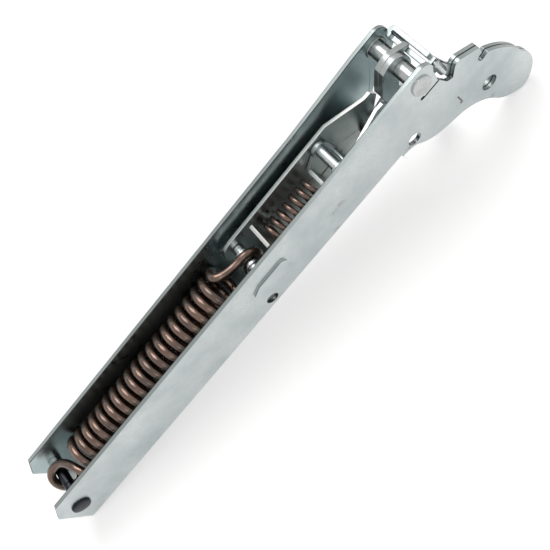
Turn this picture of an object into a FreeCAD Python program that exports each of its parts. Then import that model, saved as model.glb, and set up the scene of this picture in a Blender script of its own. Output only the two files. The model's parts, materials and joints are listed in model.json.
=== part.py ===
"""Oven door hinge: a folded sheet case with its claw, a sprung slider and a swinging lever.

Millimetres. X runs from the tail of the case to the claw, Y across the case from the near
wall (which carries the claw) to the far wall, and Z from the back face up to the open side.
The origin is on the back face, at mid width, level with the fixing hole at mid length.
"""
import FreeCAD, Part
import math
import os

V = FreeCAD.Vector

# Case, folded from one sheet
case_width = 27.0
sheet = 2.0
wall_height = 30.0
bend_radius = 2.6
ear_rise = 1.6
ear_front = 7.6
ear_round = 5.1
ear_slope_start = 45.0
ear_slope_end = 8.0
tail_to_hole = 131.5
hole_to_pivot = 99.5
tail_chamfer = 7.4
web_end_gap = 20.5
far_cut_rise = 9.0
neck_back = 24.0
wall_hole_radius = 2.75
wall_hole_height = 6.0
head_hole_radius = 2.9
head_hole_offset = 16.3
head_hole_height = 2.2
rib_start = 100.6
rib_length = 19.5
rib_width = 4.6
rib_stand = 1.0
rib_height = 18.6
slit_width = 0.9
slit_height = 17.2
slit_back = 3.0

# Claw and its backing plate
claw_size = 38.5
claw_hole_radius = 3.5
claw_hole_out = 17.6
claw_hole_drop = 13.8
backing_sheet = 2.0
bridge_out = 8.4
bridge_top = 27.0
bridge_bottom = 15.0
arch_top = 20.0
arch_half = 7.4
leaf_gap = 1.0
leaf_top = 25.4
knuckle_back = 7.1
knuckle_stand = 1.8
knuckle_facet = 1.2

# Main pin and its bushes
pivot_height = 24.5
pin_radius = 2.5
pin_head_radius = 4.3
pin_head_height = 1.1
spacer_wall = 1.1
washer_radius = 4.6
washer_thickness = 0.6

# Lever
plate_thickness = 2.5
hub_wall = 2.4
lever_top = 7.0
lever_shoulder = 12.2
arm_length = 52.0
arm_width = 11.0
arm_offset = 11.0
arm_lean = 8.0
arm_hole_radius = 2.6
arm_hole_pitch = 13.0
arm_end_margin = 6.5
lever_rivet_radius = 1.5
lever_rivet_head = 2.4
lever_rivet_rise = 0.6
lever_swing = 84.0
nose_reach = 8.1
nose_depth = 2.3
lobe_wall = 2.0

# Slider
frame_half_width = 9.3
frame_sheet = 1.7
frame_floor = 5.0
frame_top = 23.2
frame_nose_top = 21.4
frame_nose_end = 12.4
frame_nose_rake = 3.6
notch_back = 19.2
frame_taper_start = 34.0
frame_taper_end = 17.0
frame_front_gap = 27.5
frame_travel = 30.0
frame_dip = 2.35
hook_pin_back = 93.5
hook_pin_radius = 2.0
hook_pin_end = 0.8
tail_lobe_radius = 6.4
crank_pin_back = 14.5
crank_pin_drop = 17.0
crank_pin_radius = 2.0
crank_head_height = 0.8
crank_nose_wall = 1.4
tab_back = 81.0
tab_top = 22.2
spool_wall = 0.6
spool_flange_wall = 1.6
spool_flange = 1.6

# Shoe
shoe_sheet = 1.7
shoe_back = 52.0
shoe_front = 37.9
shoe_back_top = 15.4
shoe_pin_back = 42.0
shoe_pin_height = 18.0
shoe_pin_radius = 2.4
shoe_pin_wall = 1.6
cross_pin_back = 39.6
cross_pin_height = 10.5
cross_pin_radius = 1.5

# Springs and the tail anchor
spring_axis_height = 16.6
spring_side_gap = 0.6
spring_wire = 4.0
spring_pitch = 5.13
spring_first_top = 204.0
spring_turns = 19
tail_loop_radius = 6.2
tail_loop_lean = 40.0
front_hook_radius = 5.0
tail_loop_shift = 2.0
tail_lead = 0.75
front_lead = 0.93
hook_turn = 235.0
hook_pull = 0.45
wire_facets = 8
chord_share = 0.45
small_wire = 2.3
small_side_gap = 1.2
small_axis_height = 13.8
small_turns = 7
tail_pin_back = 222.0
tail_pin_radius = 2.5
tail_head_radius = 4.4
tail_head_height = 1.2
tail_bush_wall = 0.6
tail_bush_length = 4.0

# Clearances
running = 0.05
plate_gap = 0.04
slide_gap = 0.3

half_width = case_width / 2
inner_half = half_width - sheet
spring_mean_radius = inner_half - spring_wire / 2 - spring_side_gap
lever_half = plate_thickness + plate_gap / 2
nose_half = lever_half + slide_gap + frame_sheet
tail = -(tail_to_hole + hole_to_pivot)
pivot = (0.0, pivot_height)
crank_home = (-crank_pin_back, pivot_height - crank_pin_drop)
hook_home = (-hook_pin_back, spring_axis_height)
tail_pin_at = (-tail_pin_back, spring_axis_height)
shoe_bottom = frame_floor + frame_sheet + slide_gap
shoe_half_width = frame_half_width - frame_sheet - slide_gap
small_mean_radius = shoe_half_width - small_wire / 2 - small_side_gap


def at_pivot(x, z, y=0.0):
    """Point x beyond the pivot line and z above the back face."""
    return V(hole_to_pivot + x, y, z)


def box(x0, x1, y0, y1, z0, z1):
    """Block between two corners, x from the pivot line."""
    return Part.makeBox(x1 - x0, y1 - y0, z1 - z0, at_pivot(x0, z0, y0))


def rod(radius, y0, y1, centre):
    """Round bar along Y about a point of the XZ plane."""
    return Part.makeCylinder(radius, y1 - y0, at_pivot(*centre, y0), V(0, 1, 0))


def tube(outer_radius, inner_radius, y0, y1, centre):
    """Plain bush along Y."""
    return rod(outer_radius, y0, y1, centre).cut(rod(inner_radius, y0 - 1, y1 + 1, centre))


def plate(path, y0, y1):
    """Sheet cut to a closed outline in the XZ plane, from y0 to y1.

    The path starts with a point; each later item is a point for a straight edge, or a pair
    of points for an arc through the first to the second.
    """
    edges = []
    start = at_pivot(*path[0], y0)
    last = start
    for item in path[1:]:
        if isinstance(item[0], tuple):
            middle, end = at_pivot(*item[0], y0), at_pivot(*item[1], y0)
            edges.append(Part.Arc(last, middle, end).toShape())
        else:
            end = at_pivot(*item, y0)
            edges.append(Part.makeLine(last, end))
        last = end
    if last.distanceToPoint(start) > 1e-6:
        edges.append(Part.makeLine(last, start))
    return Part.Face(Part.Wire(edges)).extrude(V(0, y1 - y0, 0))


def slab(plan, z0, z1):
    """Block cut to a closed outline of (x, y) points, from z0 to z1."""
    corners = [at_pivot(x, z0, y) for x, y in plan]
    return Part.Face(Part.makePolygon(corners + corners[:1])).extrude(V(0, 0, z1 - z0))


def turned(point, centre, degrees):
    """Point in the XZ plane turned about a centre, from +Z towards +X for a positive angle."""
    angle = math.radians(degrees)
    dx, dz = point[0] - centre[0], point[1] - centre[1]
    return (centre[0] + dx * math.cos(angle) + dz * math.sin(angle),
            centre[1] - dx * math.sin(angle) + dz * math.cos(angle))


def around(centre, radius, degrees):
    """Point on a circle of the XZ plane, measured from +X towards +Z."""
    angle = math.radians(degrees)
    return (centre[0] + radius * math.cos(angle), centre[1] + radius * math.sin(angle))


def scaled(size, item):
    """Point of an outline, or an arc's pair of points, given in shares of a size."""
    if isinstance(item, float):
        return size * item
    return tuple(scaled(size, part) for part in item)


def capsule(first, second, radius, y0, y1):
    """Round-ended bar of constant width between two points of the XZ plane."""
    along = math.degrees(math.atan2(second[1] - first[1], second[0] - first[0]))
    return plate([around(first, radius, along + 90),
                  (around(first, radius, along + 180), around(first, radius, along - 90)),
                  around(second, radius, along - 90),
                  (around(second, radius, along), around(second, radius, along + 90))], y0, y1)


def rivet(radius, head_radius, head_height, y0, y1, centre):
    """Solid rivet whose bevelled heads stand on the faces at y0 and y1."""
    bevel = head_height / 2
    profile = [V(0, y0 - head_height, 0), V(head_radius - bevel, y0 - head_height, 0),
               V(head_radius, y0 - head_height + bevel, 0), V(head_radius, y0, 0), V(radius, y0, 0),
               V(radius, y1, 0), V(head_radius, y1, 0), V(head_radius, y1 + head_height - bevel, 0),
               V(head_radius - bevel, y1 + head_height, 0), V(0, y1 + head_height, 0)]
    body = Part.Face(Part.makePolygon(profile + profile[:1])).revolve(V(0, 0, 0), V(0, 1, 0), 360)
    body.translate(at_pivot(*centre))
    return body


def claw_edge():
    """Outline shared by the claw and its backing, from the notch round to the neck."""
    outline = [(0.325, 0.374), ((0.371, 0.392), (0.426, 0.374)), (0.603, 0.257), (0.595, 0.164), (0.561, 0.158),
               ((0.522, 0.109), (0.551, 0.057)), (0.639, 0.078), ((0.810, -0.160), (0.892, -0.450)),
               ((0.880, -0.845), (0.696, -1.0)), ((0.540, -0.904), (0.387, -0.662)),
               ((0.260, -0.468), (0.081, -0.343))]
    return [scaled(claw_size, item) for item in outline]


def ear_edge():
    """Top of a wall at the head: its gentle rise and the round of the ear."""
    top = wall_height + ear_rise
    return [(-ear_slope_start, wall_height), (-ear_slope_end, top), (ear_front - 0.86 * ear_round, top),
            ((ear_front - 0.22 * ear_round, top - 0.33 * ear_round), (ear_front, top - ear_round))]


def rib(side, shift):
    """Guide rib in a wall, pointed at the tail end and round at the other, moved in by shift."""
    y0, y1 = sorted((side * (half_width - shift), side * (half_width - shift + rib_stand)))
    left, right = -rib_start, -rib_start + rib_length
    half = rib_width / 2
    return plate([(left, rib_height), (left + 2 * half, rib_height + half), (right - half, rib_height + half),
                  ((right, rib_height), (right - half, rib_height - half)),
                  (left + 2 * half, rib_height - half)], y0, y1)


def case_channel():
    """U-channel whose near wall runs on into the claw and whose far wall ends in an ear."""
    outer = box(tail, -web_end_gap, -half_width, half_width, 0, wall_height)
    long_low = [edge for edge in outer.Edges if edge.BoundBox.XLength > 1 and edge.BoundBox.ZMax < 1e-6]
    outer = outer.makeFillet(bend_radius, long_low)
    hollow = box(tail - 1, -web_end_gap + 1, -inner_half, inner_half, sheet, wall_height + 1)
    long_low = [edge for edge in hollow.Edges if edge.BoundBox.XLength > 1 and edge.BoundBox.ZMax < sheet + 1e-6]
    hollow = hollow.makeFillet(bend_radius - sheet, long_low)
    corner = [(tail - 1, wall_height - tail_chamfer - 1), (tail + tail_chamfer + 1, wall_height + 1),
              (tail - 1, wall_height + 1)]
    channel = outer.cut([hollow, plate(corner, -half_width - 1, half_width + 1)])
    inner_end = [(-web_end_gap - sheet, sheet + bend_radius), (-ear_slope_start, wall_height - sheet)]
    notch = [(0.166, 0.626), (0.140, 0.468)], [(0.187, 0.306), (0.243, 0.268)]
    neck = [(-0.250, -0.442), ((-0.508, -0.317), (-0.708, -0.100)), ((-0.833, -0.021), (-1.0, 0.0))]
    near = ear_edge() + [scaled(claw_size, item) for item in notch[0] + notch[1]]
    near += claw_edge() + [scaled(neck_back, item) for item in neck]
    near += [(-neck_back, sheet + bend_radius)] + inner_end
    far = ear_edge() + [(ear_front, pivot_height - pin_radius),
                        scaled(pivot_height, ((0.220, 0.718), (0.041, 0.637))),
                        (far_cut_rise - web_end_gap, far_cut_rise), (-web_end_gap, 0.0)] + inner_end
    walls = [plate(near, -half_width, -inner_half), plate(far, inner_half, half_width)]
    body = channel.fuse(walls + [rib(side, 0) for side in (-1, 1)])
    across = (-half_width - 1, half_width + 1)
    near_only = (-half_width - 1, 0)
    cuts = [rib(side, sheet) for side in (-1, 1)]
    cuts += [rod(pin_radius, *across, pivot), rod(tail_pin_radius, *across, tail_pin_at),
             rod(wall_hole_radius, *near_only, (-hole_to_pivot, wall_hole_height)),
             rod(head_hole_radius, *near_only, (-head_hole_offset, head_hole_height)),
             rod(claw_hole_radius, *near_only, (claw_hole_out, -claw_hole_drop)),
             box(-slit_back, ear_front, *near_only, slit_height - slit_width / 2, slit_height + slit_width / 2),
             rod(slit_width, *near_only, (-slit_back, slit_height + slit_width / 2))]
    return body.cut(cuts).removeSplitter()


def case_parts():
    """The folded case as its flat web, its near wall with the claw, and its far wall."""
    body = case_channel()
    web = body.common(box(tail, -web_end_gap, -half_width, half_width, 0, sheet))
    walls = body.cut(web)
    far_side = half_width + rib_stand
    far = walls.common(box(tail, ear_front + sheet, 0, far_side, 0, wall_height + ear_rise))
    return {"case_web": web, "case_near_wall": walls.cut(far), "case_far_wall": far}


def claw_backing():
    """Second layer behind the claw, folded across the head as a bridge with a return leaf."""
    y0, y1 = -inner_half, -inner_half + backing_sheet
    front = bridge_out + backing_sheet
    leaf = bridge_out - leaf_gap - backing_sheet
    far_end = inner_half - slide_gap
    step = bridge_top - backing_sheet
    backing = plate([(bridge_out, step), (front, step), scaled(claw_size, (0.306, 0.426))] + claw_edge()
                    + [scaled(claw_size, (0.109, -0.052)), (bridge_out, 0.156 * claw_size)], y0, y1)
    backing = backing.cut(rod(claw_hole_radius, y0 - 1, y1 + 1, (claw_hole_out, -claw_hole_drop)))
    turn = (front - leaf) / 2
    bend_at = at_pivot(leaf + turn, bridge_bottom, far_end - turn)
    height = bridge_top - bridge_bottom
    bridge = box(leaf, front, y1 + slide_gap, far_end - turn, bridge_bottom, bridge_top)
    bridge = bridge.fuse(Part.makeCylinder(turn, height, bend_at))
    slot = box(bridge_out - leaf_gap, bridge_out, y1, far_end - turn, bridge_bottom, bridge_top)
    slot = slot.fuse(Part.makeCylinder(leaf_gap / 2, height, bend_at))
    root = box(bridge_out, front, y0, y1 + slide_gap, bridge_bottom, step)
    over_leaf = box(leaf, bridge_out - leaf_gap, y1, far_end - turn, leaf_top, bridge_top)
    arch = box(leaf, front, -arch_half, arch_half, bridge_bottom, arch_top)
    knuckle = box(knuckle_back, front, y0 - knuckle_stand, y0, bridge_bottom, step)
    rim = [edge for edge in knuckle.Edges if edge.BoundBox.YMin < y0 - knuckle_stand + 1e-6]
    knuckle = knuckle.makeChamfer(knuckle_facet, rim)
    knuckle = knuckle.fuse(box(knuckle_back, front, y0, y1, bridge_bottom, step))
    return backing.fuse([bridge.cut([slot, over_leaf, arch]), root, knuckle]).removeSplitter()


def crank_path(steps=9):
    """Places of the crank pin's axis as the turning lever sees them over its whole swing."""
    places = []
    for step in range(steps):
        share = step / (steps - 1)
        dipped = turned(crank_home, hook_home, share * frame_dip)
        moved = (dipped[0] + share * frame_travel, dipped[1])
        places.append(turned(moved, pivot, share * lever_swing))
    return places


def along_path(radius, y0, y1):
    """Plate swept by a round of this radius on the crank pin's path."""
    places = crank_path()
    spans = [capsule(a, b, radius, y0, y1) for a, b in zip(places, places[1:])]
    return spans[0].fuse(spans[1:]).removeSplitter()


def arm_point(across, down):
    """Point of the arm, across its width and down its length from the pivot."""
    return turned((pivot[0] + across, pivot[1] - down), pivot, -arm_lean)


def arm_holes():
    """Centres of the two fixing holes of the arm, the outer one first."""
    return [arm_point(-arm_offset, arm_length - arm_end_margin - k * arm_hole_pitch) for k in range(2)]


def arm_rivets():
    """Centres of the rivets that hold the two plates of the arm together."""
    first = arm_length - arm_end_margin - arm_hole_pitch / 2
    return [arm_point(-arm_offset, first - k * arm_hole_pitch) for k in range(2)]


def lever_plate(y0, y1, with_nose):
    """One layer of the lever: hub, crank lobe with its cam slot, and the long arm."""
    hub = pin_radius + hub_wall
    corner = arm_width / 2
    right, left = corner - arm_offset, -corner - arm_offset
    top = pivot_height + lever_top
    slot = crank_pin_radius + slide_gap / 2
    path = [(0.0, top), ((hub * 0.8, pivot_height + lever_top * 0.6), (hub, pivot_height)),
            (around(pivot, hub, -60), around(pivot, hub, -125)),
            arm_point(right, corner), arm_point(right, arm_length - corner),
            (arm_point(-arm_offset, arm_length), arm_point(left, arm_length - corner)),
            arm_point(left, crank_pin_drop + corner), (crank_home[0] - 0.75 * crank_pin_radius, crank_home[1]),
            (crank_home[0] + lobe_wall, crank_home[1] + 2.5 * lobe_wall),
            (-lever_shoulder, top - 1.46 * lever_top), (-0.51 * lever_shoulder, top - 0.2 * lever_top),
            ((-0.28 * lever_shoulder, top - 0.04 * lever_top), (0.0, top))]
    solid = plate(path, y0, y1).fuse(along_path(slot + lobe_wall, y0, y1))
    if with_nose:
        bottom = leaf_top + slide_gap
        solid = solid.fuse(plate([(0.0, bottom), (nose_reach, bottom), (nose_reach, bottom + nose_depth / 2),
                                  (0.9 * hub, bottom + 1.6 * nose_depth), (0.0, top)], y0, y1))
    cuts = [rod(pin_radius + running, y0, y1, pivot), along_path(slot, y0, y1)]
    cuts += [rod(arm_hole_radius, y0, y1, centre) for centre in arm_holes()]
    cuts += [rod(lever_rivet_radius, y0, y1, centre) for centre in arm_rivets()]
    return solid.cut(cuts).removeSplitter()


def flange_plan():
    """Half plan of one flange of the slider: straight, then bent in towards the lever."""
    outer = [(-hook_pin_back - tail_lobe_radius, frame_half_width), (-frame_taper_start, frame_half_width),
             (-frame_taper_end, nose_half), (0.0, nose_half)]
    return outer + [(x, y - frame_sheet) for x, y in reversed(outer)]


def flange_side():
    """Side view of the slider: tail lobe, top edge, nose, notch and crank nose."""
    lobe, nose = tail_lobe_radius, crank_pin_radius + crank_nose_wall
    return [(hook_home[0], frame_top), (-frame_taper_start, frame_top),
            (-frame_nose_end - frame_nose_rake / 3, frame_nose_top),
            (-frame_nose_end, frame_nose_top - frame_nose_rake), (-notch_back, crank_home[1] + nose),
            (crank_home[0], crank_home[1] + nose),
            (around(crank_home, nose, 0), around(crank_home, nose, -90)),
            (-frame_front_gap, frame_floor), (hook_home[0] + lobe, frame_floor),
            around(hook_home, lobe, -70), (around(hook_home, lobe, 180), (hook_home[0], hook_home[1] + lobe))]


def slider_frame():
    """Inner U that joins the main spring to the lever, with its lanced cross tab."""
    side = plate(flange_side(), -half_width, half_width)
    plan = flange_plan()
    flanges = [slab([(x, sign * y) for x, y in plan], 0, frame_top).common(side) for sign in (-1, 1)]
    slope = (frame_half_width - nose_half) / (frame_taper_start - frame_taper_end)
    front_half = frame_half_width - slope * (frame_taper_start - frame_front_gap)
    edge = [(hook_home[0] + tail_lobe_radius, frame_half_width), (-frame_taper_start, frame_half_width),
            (-frame_front_gap, front_half)]
    floor = slab(edge + [(x, -y) for x, y in reversed(edge)], frame_floor, frame_floor + frame_sheet)
    tab_half = frame_half_width - 2 * frame_sheet + slide_gap
    tab = box(-tab_back - frame_sheet, -tab_back, -tab_half, tab_half, frame_floor, tab_top)
    cuts = [rod(hook_pin_radius + running, -half_width, half_width, hook_home),
            rod(crank_pin_radius, -half_width, half_width, crank_home)]
    return flanges[0].fuse([flanges[1], floor, tab]).cut(cuts).removeSplitter()


def hook_spool():
    """Stepped sleeve on the hook pin that keeps the main spring's hook in the middle."""
    hub = hook_pin_radius + spool_wall
    collar = hook_pin_radius + spool_flange_wall
    reach = frame_half_width - frame_sheet - slide_gap
    groove = spring_wire / 2 + slide_gap
    body = rod(hub, -reach, reach, hook_home)
    for side in (-1, 1):
        y0, y1 = sorted((side * groove, side * (groove + spool_flange)))
        body = body.fuse(rod(collar, y0, y1, hook_home))
    return body.cut(rod(hook_pin_radius, -reach, reach, hook_home)).removeSplitter()


def hook_pin():
    """Plain pin through the tail lobes of the slider."""
    reach = frame_half_width + hook_pin_end
    pin = rod(hook_pin_radius, -reach, reach, hook_home)
    rims = [edge for edge in pin.Edges if edge.Closed]
    return pin.makeChamfer(hook_pin_end / 2, rims)


def chords(edge, radius):
    """Points along an edge, close enough for a bend of this radius."""
    return edge.discretize(Number=math.ceil(edge.Length / (chord_share * radius)) + 1)


def pipe(points, wire):
    """Wire with wire_facets flats, swept from point to point with mitred corners."""
    rim = Part.makeCircle(wire / 2, points[0], points[1] - points[0])
    corners = rim.discretize(Number=wire_facets + 1)
    return Part.makePolygon(points).makePipeShell([Part.makePolygon(corners)], True, False, 1)


def coil_edge(mean_radius, pitch, turns, x, z, first_turn=0.0):
    """Right-handed helix along X from x; it starts first_turn of a turn past its lowest point."""
    helix = Part.makeHelix(pitch, pitch * turns, mean_radius)
    helix.rotate(V(0, 0, 0), V(0, 0, 1), 360 * first_turn)
    helix.rotate(V(0, 0, 0), V(0, 1, 0), 90)
    helix.translate(at_pivot(x, z))
    return helix.Edges[0]


def hook_points(leave, heading, pin_at, pin_size, radius, lean, shift, side):
    """Points from a coil's end over to the top of a loop round a pin, and on round the leaning loop."""
    tilt = math.radians(lean)
    slack = (radius - spring_wire / 2 - pin_size) * math.cos(tilt) - running
    centre = (pin_at[0] - side * slack, pin_at[1])
    places = []
    for angle in (0, 90, hook_turn):
        x, z = around((0.0, 0.0), radius, 90 - side * angle)
        places.append(at_pivot(centre[0] + x, centre[1] + z * math.cos(tilt), shift + z * math.sin(tilt)))
    top, first, last = places
    pull = top.distanceToPoint(leave)
    blend = Part.BezierCurve()
    blend.setPoles([leave, leave + heading * (hook_pull * pull), top - V(side * hook_pull * pull, 0, 0), top])
    return chords(blend.toShape(), radius) + chords(Part.Arc(top, first, last).toShape(), radius)[1:]


def main_spring():
    """Extension spring between the tail pin and the hook pin, looped over both."""
    turns = spring_turns - 1 + tail_lead + front_lead
    start = -spring_first_top - spring_pitch * tail_lead
    coil = coil_edge(spring_mean_radius, spring_pitch, turns, start, spring_axis_height, 0.5 - tail_lead)
    first, last = coil.FirstParameter, coil.LastParameter
    rear = hook_points(coil.valueAt(first), coil.tangentAt(first) * -1, tail_pin_at, tail_pin_radius,
                       tail_loop_radius, tail_loop_lean, tail_loop_shift, -1)
    front = hook_points(coil.valueAt(last), coil.tangentAt(last), hook_home, hook_pin_radius + spool_wall,
                        front_hook_radius, 0.0, 0.0, 1)
    return pipe(rear[:0:-1] + chords(coil, spring_mean_radius) + front[1:], spring_wire)


def small_spring():
    """Compression spring between the cross tab and the shoe."""
    start = -tab_back + small_wire / 2 + running
    end = -shoe_back - small_wire / 2 - running
    coil = coil_edge(small_mean_radius, (end - start) / small_turns, small_turns, start, small_axis_height)
    return pipe(chords(coil, small_mean_radius), small_wire)


def shoe_bracket():
    """U-shaped shoe that the small spring pushes forward, with holes for its two pins."""
    lobe = shoe_pin_radius + shoe_pin_wall
    pin_at, cross_at = shoe_pins()
    outline = [(-shoe_back, shoe_bottom), (-shoe_back, shoe_back_top), around(pin_at, lobe, 160),
               (around(pin_at, lobe, 85), around(pin_at, lobe, 10)), (-shoe_front, shoe_back_top),
               (-shoe_front, shoe_bottom)]
    legs = []
    for side in (-1, 1):
        y0, y1 = sorted((side * shoe_half_width, side * (shoe_half_width - shoe_sheet)))
        legs.append(plate(outline, y0, y1))
    back = box(-shoe_back, -shoe_back + shoe_sheet, -shoe_half_width, shoe_half_width, shoe_bottom, shoe_back_top)
    cuts = [rod(shoe_pin_radius, -shoe_half_width, shoe_half_width, pin_at),
            rod(cross_pin_radius, -shoe_half_width, shoe_half_width, cross_at)]
    return legs[0].fuse([legs[1], back]).cut(cuts).removeSplitter()


def shoe_pins():
    """Centres of the shoe's upper pin and lower cross pin."""
    return (-shoe_pin_back, shoe_pin_height), (-cross_pin_back, cross_pin_height)


def pieces():
    """Every piece by the name of its node."""
    near_face, far_face = -inner_half + washer_thickness, inner_half - washer_thickness
    bush_outer, bush_inner = pin_radius + spacer_wall, pin_radius + running
    side_gap = lever_half + running
    collar = (tail_pin_radius + tail_bush_wall, tail_pin_radius + running)
    return {
        **case_parts(),
        "claw_backing": claw_backing(),
        "main_pin": rivet(pin_radius, pin_head_radius, pin_head_height, -half_width, half_width, pivot),
        "spacer_near": tube(bush_outer, bush_inner, near_face, -side_gap, pivot),
        "spacer_far": tube(bush_outer, bush_inner, side_gap, far_face, pivot),
        "washer_near": tube(washer_radius, bush_inner, -inner_half, near_face, pivot),
        "washer_far": tube(washer_radius, bush_inner, far_face, inner_half, pivot),
        "tail_pin": rivet(tail_pin_radius, tail_head_radius, tail_head_height, -half_width, half_width,
                          tail_pin_at),
        "tail_bush": tube(*collar, inner_half - tail_bush_length, inner_half, tail_pin_at),
        "main_spring": main_spring(),
        "lever_plate_near": lever_plate(-lever_half, -plate_gap / 2, False),
        "lever_plate_far": lever_plate(plate_gap / 2, lever_half, True),
        **{f"lever_rivet_{number}": rivet(lever_rivet_radius, lever_rivet_head, lever_rivet_rise,
                                          -lever_half, lever_half, centre)
           for number, centre in enumerate(arm_rivets(), 1)},
        "hook_pin": hook_pin(),
        "hook_spool": hook_spool(),
        "slider_frame": slider_frame(),
        "crank_pin": rivet(crank_pin_radius, crank_pin_radius + crank_nose_wall / 2, crank_head_height,
                           -nose_half, nose_half, crank_home),
        "small_spring": small_spring(),
        "shoe_bracket": shoe_bracket(),
        "shoe_pin": rod(shoe_pin_radius, -shoe_half_width, shoe_half_width, shoe_pins()[0]),
        "shoe_cross_pin": rod(cross_pin_radius, -shoe_half_width, shoe_half_width, shoe_pins()[1]),
    }


os.makedirs("parts", exist_ok=True)
for name, shape in pieces().items():
    shape.exportStep(f"parts/{name}.step")
    print(f"{name}: {len(shape.Solids)} solid, {shape.Volume:.1f} mm3, valid {shape.isValid()}")
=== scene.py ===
"""Oven door hinge on a pale floor, dressed in worn plate, turned steel and browned spring wire."""
from __future__ import annotations

import json
import logging
import math
from dataclasses import dataclass
from enum import Enum
from types import MappingProxyType
from typing import Mapping, Optional, Sequence, Union

import bmesh
import bpy
from mathutils import Matrix, Vector


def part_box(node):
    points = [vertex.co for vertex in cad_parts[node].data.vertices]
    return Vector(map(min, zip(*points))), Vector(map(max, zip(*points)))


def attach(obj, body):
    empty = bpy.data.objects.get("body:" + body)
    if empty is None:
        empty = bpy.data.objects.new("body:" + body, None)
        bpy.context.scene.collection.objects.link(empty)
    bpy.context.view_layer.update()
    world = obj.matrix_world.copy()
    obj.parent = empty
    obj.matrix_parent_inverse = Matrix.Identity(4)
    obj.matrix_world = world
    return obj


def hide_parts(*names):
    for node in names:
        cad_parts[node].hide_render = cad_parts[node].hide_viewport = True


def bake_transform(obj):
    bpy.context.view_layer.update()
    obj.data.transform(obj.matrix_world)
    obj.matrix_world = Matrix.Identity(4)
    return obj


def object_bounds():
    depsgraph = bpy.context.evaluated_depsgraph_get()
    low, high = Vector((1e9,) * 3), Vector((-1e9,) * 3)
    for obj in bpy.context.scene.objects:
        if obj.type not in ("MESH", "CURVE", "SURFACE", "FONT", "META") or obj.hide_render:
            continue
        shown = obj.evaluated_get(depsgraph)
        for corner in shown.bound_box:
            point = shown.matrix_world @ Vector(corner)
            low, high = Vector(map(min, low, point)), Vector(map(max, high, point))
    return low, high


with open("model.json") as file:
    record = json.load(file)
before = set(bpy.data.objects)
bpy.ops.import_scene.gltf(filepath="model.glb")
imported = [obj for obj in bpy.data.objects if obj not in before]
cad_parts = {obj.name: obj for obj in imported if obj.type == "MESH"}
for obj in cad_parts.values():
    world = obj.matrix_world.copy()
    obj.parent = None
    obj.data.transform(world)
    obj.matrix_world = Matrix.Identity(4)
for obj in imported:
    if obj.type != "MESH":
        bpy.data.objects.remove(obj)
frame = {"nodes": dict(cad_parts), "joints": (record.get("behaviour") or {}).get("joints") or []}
CAD_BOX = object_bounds()

LOG = logging.getLogger("hinge")
MM = 0.001
Colour = tuple[float, float, float]
Point = tuple[float, float, float]
Pair = tuple[float, float]

# No stretch along any axis, and no settings or inputs for a node
EVEN: Point = (1.0, 1.0, 1.0)
NOTHING: Mapping = MappingProxyType({})

# Numbers of the axes, and of the sockets of a colour mix
ALONG = 0
ACROSS = 1
UPWARD = 2
MIX_SHARE = 0
MIX_FIRST = 6
MIX_SECOND = 7
MIX_RESULT = 2


class Body(Enum):
    """The bodies that a piece can ride on."""

    CASE = "case"
    LEVER = "lever"
    CARRIAGE = "hook_carriage"
    SLIDER = "slider"
    SHOE = "shoe"


class Slot(Enum):
    """The record's material slots."""

    ZINC_SHEET = "zinc_sheet"
    PLAIN_STEEL = "plain_steel"
    DARK_STEEL = "dark_steel"
    SPRING_STEEL = "spring_steel"


def middle(node: str) -> Vector:
    """Return the middle of a node's box."""
    low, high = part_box(node)
    return (Vector(low) + Vector(high)) / 2


def corners(node: str) -> tuple[Vector, Vector]:
    """Return the lowest and highest corners of a node's box in millimetres."""
    low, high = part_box(node)
    return Vector(low) / MM, Vector(high) / MM


# The lever's pivot in metres, and the case's web, half width and sheet in millimetres
PIVOT = next(Vector(joint["pos_m"]) for joint in frame["joints"] if joint["name"] == "lever_pivot")
WEB_LOW, WEB_HIGH = corners("case_web")
HALF_WIDTH = round(WEB_HIGH.y, 3)
SHEET = round(WEB_HIGH.z, 3)


def at_pivot(x: float, z: float) -> Vector:
    """Return a place in metres from millimetres beyond the pivot line and above the back face."""
    return Vector((PIVOT.x + x * MM, 0.0, z * MM))


@dataclass(frozen=True)
class Flow:
    """A shader socket that takes part in plain arithmetic; each expression adds its Math nodes.

    Attributes:
        graph: The graph that the socket is in.
        socket: The socket.
    """

    graph: ShaderGraph
    socket: bpy.types.NodeSocket

    def _join(self, operation: str, first: Value, second: Value) -> Flow:
        """Return the result of one Math node on two values."""
        return self.graph.node("ShaderNodeMath", {"operation": operation}, {0: first, 1: second})

    def __add__(self, other: Value) -> Flow:
        """Return self + other."""
        return self._join("ADD", self, other)

    __radd__ = __add__

    def __sub__(self, other: Value) -> Flow:
        """Return self - other."""
        return self._join("SUBTRACT", self, other)

    def __rsub__(self, other: Value) -> Flow:
        """Return other - self."""
        return self._join("SUBTRACT", other, self)

    def __mul__(self, other: Value) -> Flow:
        """Return self * other."""
        return self._join("MULTIPLY", self, other)

    __rmul__ = __mul__

    def __abs__(self) -> Flow:
        """Return self without its sign."""
        return self.graph.node("ShaderNodeMath", {"operation": "ABSOLUTE"}, {0: self})


Value = Union[Flow, float]
Input = Union[Flow, float, Sequence[float]]


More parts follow.
